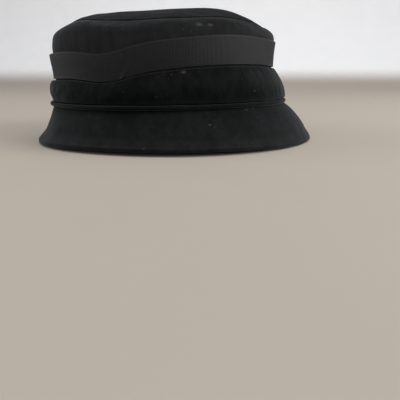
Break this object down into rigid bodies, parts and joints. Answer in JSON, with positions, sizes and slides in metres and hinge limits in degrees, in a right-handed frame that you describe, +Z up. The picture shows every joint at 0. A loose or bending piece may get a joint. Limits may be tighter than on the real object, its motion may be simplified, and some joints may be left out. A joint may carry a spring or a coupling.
{
  "type": "velvet hat",
  "caption": "Soft velvet hat with a shallow rounded crown, a ribbed hatband, a padded cuff over a piping, and a short brim that turns down.",
  "frame": {"origin": "on the surface that the brim's edge rests on, midway between the outermost points of the brim", "axes": "+X to the front of the hat, where the brim is deepest; +Y to the wearer's left; +Z up"},
  "size_m": [0.2604, 0.2264, 0.108],
  "materials": {
    "velvet": "black cotton velvet with a short even pile",
    "grosgrain": "black ribbed ribbon with a soft sheen",
    "satin": "black lining satin",
    "buckram": "stiffened open-weave cotton",
    "cotton": "unbleached cotton flannel, wadding and cord",
    "wire": "plain millinery wire"
  },
  "bodies": {
    "root": {"crown_tip_velvet": "velvet", "crown_side_velvet": "velvet", "crown_mull": "cotton", "crown_buckram": "buckram", "head_size_wire": "wire", "lining_tip": "satin", "lining_side": "satin", "sweatband": "grosgrain", "hatband_ribbon": "grosgrain", "cuff_velvet": "velvet", "cuff_wadding": "cotton", "piping_cover": "velvet", "piping_cord": "cotton", "brim_top_velvet": "velvet", "brim_buckram": "buckram", "brim_edge_wire": "wire", "brim_under_velvet": "velvet"}
  },
  "joints": []
}
